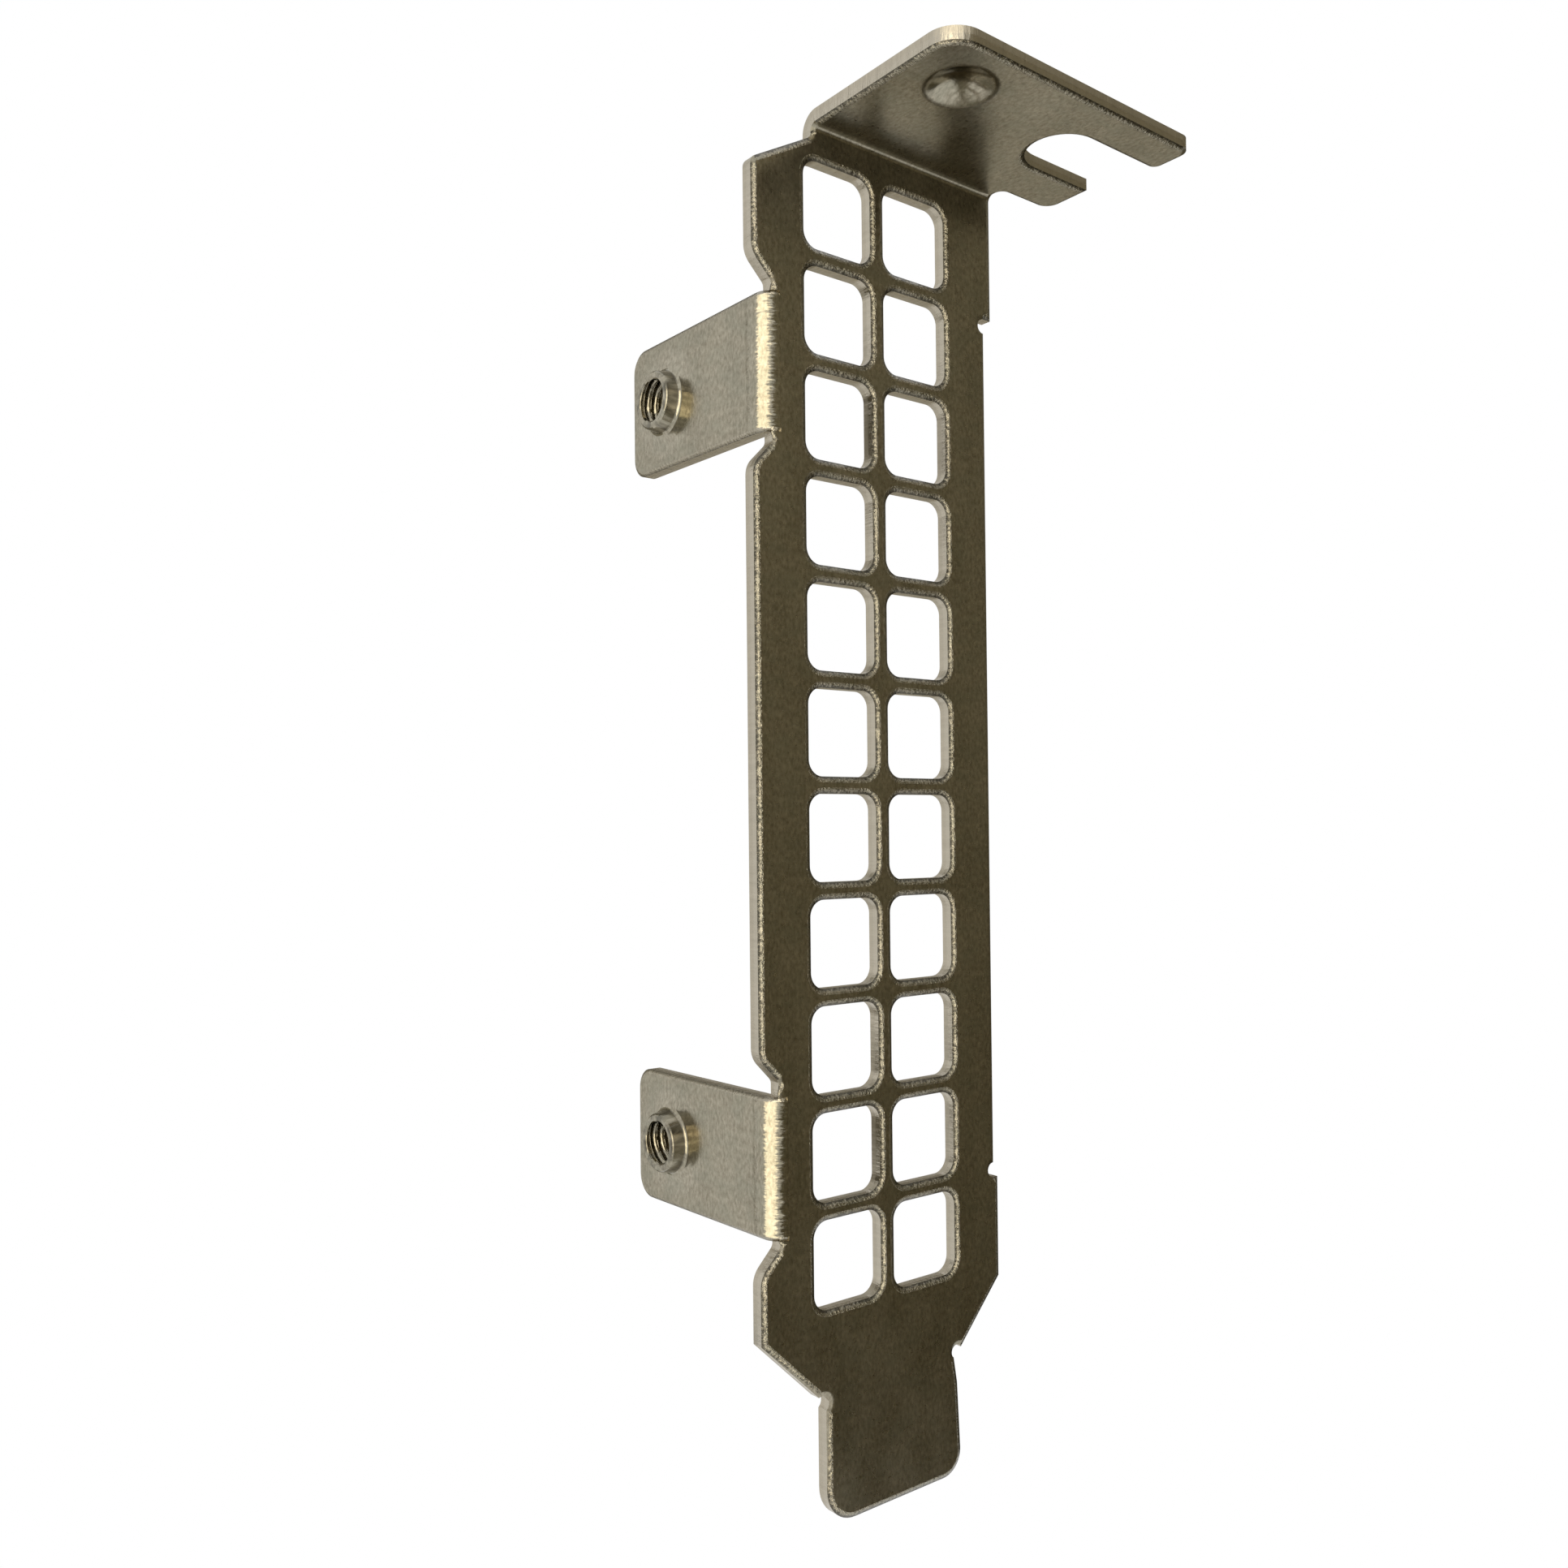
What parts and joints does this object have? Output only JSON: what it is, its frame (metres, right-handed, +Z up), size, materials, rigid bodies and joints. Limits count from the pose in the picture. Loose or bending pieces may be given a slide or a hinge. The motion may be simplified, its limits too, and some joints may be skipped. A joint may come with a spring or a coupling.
{
  "type": "low profile expansion card bracket",
  "caption": "Low profile card bracket: vented sheet steel plate with a slotted screw foot, a tapered tab and folded ears with tapped collars.",
  "frame": {"origin": "centre of the screw slot's round end, in the plane of the foot's underside", "axes": "+Z up out of the foot and away from the tab, -Y out of the case through the vented plate, +Y along the ears towards the card, +X out of the open end of the screw slot"},
  "size_m": [0.0239, 0.0254, 0.0797],
  "materials": {
    "plated_steel": "satin"
  },
  "bodies": {
    "root": {"bracket": "plated_steel"}
  },
  "joints": []
}
